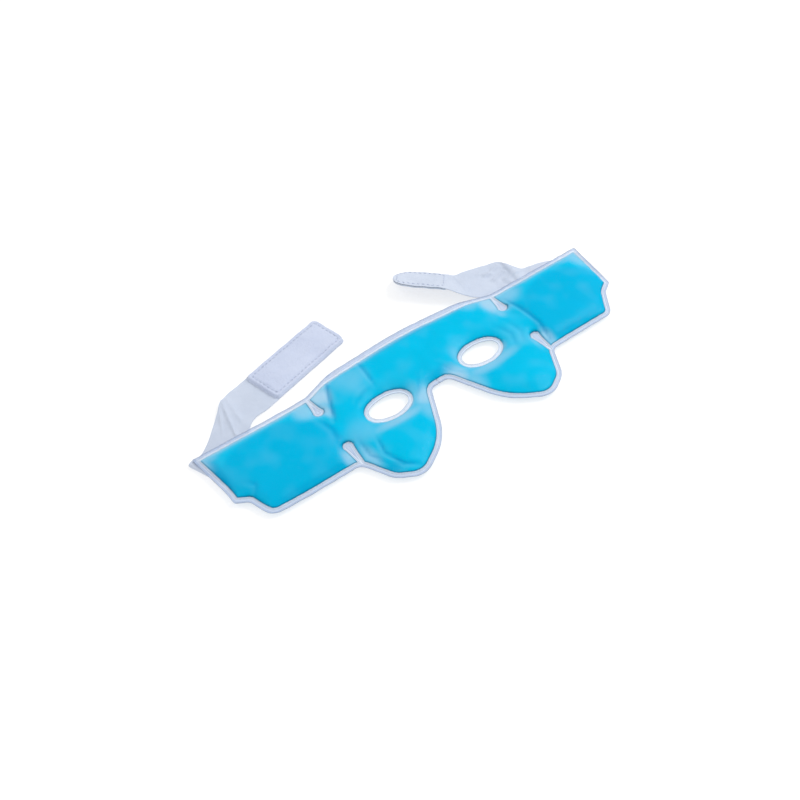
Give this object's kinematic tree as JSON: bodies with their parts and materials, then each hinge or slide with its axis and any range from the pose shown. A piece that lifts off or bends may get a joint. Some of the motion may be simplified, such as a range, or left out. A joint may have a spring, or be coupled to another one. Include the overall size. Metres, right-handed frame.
{
  "type": "gel eye pillow",
  "caption": "Soft gel-filled eye pillow with eye openings, folding temple panels and hook-and-loop head straps, lying flat with the straps folded behind.",
  "frame": {"origin": "middle of the bridge between the two eye holes, on the face the pillow rests on", "axes": "X along the mask from the wearer-facing left end to the right end as seen from the front, +Y towards the forehead edge, +Z out of the front face"},
  "size_m": [0.2734, 0.1314, 0.0134],
  "materials": {
    "clear_film": "clear, glossy, slightly wrinkled soft vinyl film",
    "gel": "translucent cyan-blue gel",
    "strap_cloth": "soft matt pale lavender-grey cloth",
    "loop_cloth": "brushed fuzzy loop pile",
    "hook_cloth": "fine moulded hooks on a woven back",
    "thread": "matt sewing thread"
  },
  "bodies": {
    "eye_part": {"eye_front_film": "clear_film", "eye_back_film": "clear_film", "eye_gel": "gel"},
    "left_temple": {"left_temple_front_film": "clear_film", "left_temple_back_film": "clear_film", "left_temple_gel": "gel", "left_strap_tab": "strap_cloth"},
    "right_temple": {"right_temple_front_film": "clear_film", "right_temple_back_film": "clear_film", "right_temple_gel": "gel", "right_strap_tab": "strap_cloth"},
    "left_strap": {"left_strap_near": "strap_cloth"},
    "left_strap_tip": {"left_strap_end": "strap_cloth", "left_loop_patch": "loop_cloth", "left_loop_stitching": "thread"},
    "right_strap": {"right_strap_near": "strap_cloth"},
    "right_strap_mid": {"right_strap_middle": "strap_cloth"},
    "right_strap_tip": {"right_strap_end": "strap_cloth", "right_hook_patch": "hook_cloth", "right_hook_stitching": "thread"}
  },
  "joints": [
    {"name": "left_temple_fold", "type": "hinge", "parent": "eye_part", "child": "left_temple", "pos_m": [-0.066, -0.008, 0.0034], "axis": [0, -1, 0], "range_deg": [-45, 100]},
    {"name": "right_temple_fold", "type": "hinge", "parent": "eye_part", "child": "right_temple", "pos_m": [0.066, -0.008, 0.0034], "axis": [0, 1, 0], "range_deg": [-45, 100]},
    {"name": "left_strap_fold", "type": "hinge", "parent": "left_temple", "child": "left_strap", "pos_m": [-0.1325, 0.0022, 0.0011], "axis": [-0.3827, 0.9239, 0], "range_deg": [0, 180]},
    {"name": "left_strap_bend", "type": "hinge", "parent": "left_strap", "child": "left_strap_tip", "pos_m": [-0.1055, 0.0345, 0.0005], "axis": [0.1736, -0.9848, 0], "range_deg": [-60, 60]},
    {"name": "right_strap_fold", "type": "hinge", "parent": "right_temple", "child": "right_strap", "pos_m": [0.1333, 0.0033, 0.0011], "axis": [-0.1219, -0.9925, 0], "range_deg": [0, 180]},
    {"name": "right_strap_bend", "type": "hinge", "parent": "right_strap", "child": "right_strap_mid", "pos_m": [0.0925, 0.021, 0.0005], "axis": [0, -1, 0], "range_deg": [0, 75]},
    {"name": "right_strap_twist", "type": "hinge", "parent": "right_strap_mid", "child": "right_strap_tip", "pos_m": [0.059, 0.0378, 0.0005], "axis": [0.2079, 0.9781, 0], "range_deg": [-60, 60]}
  ]
}
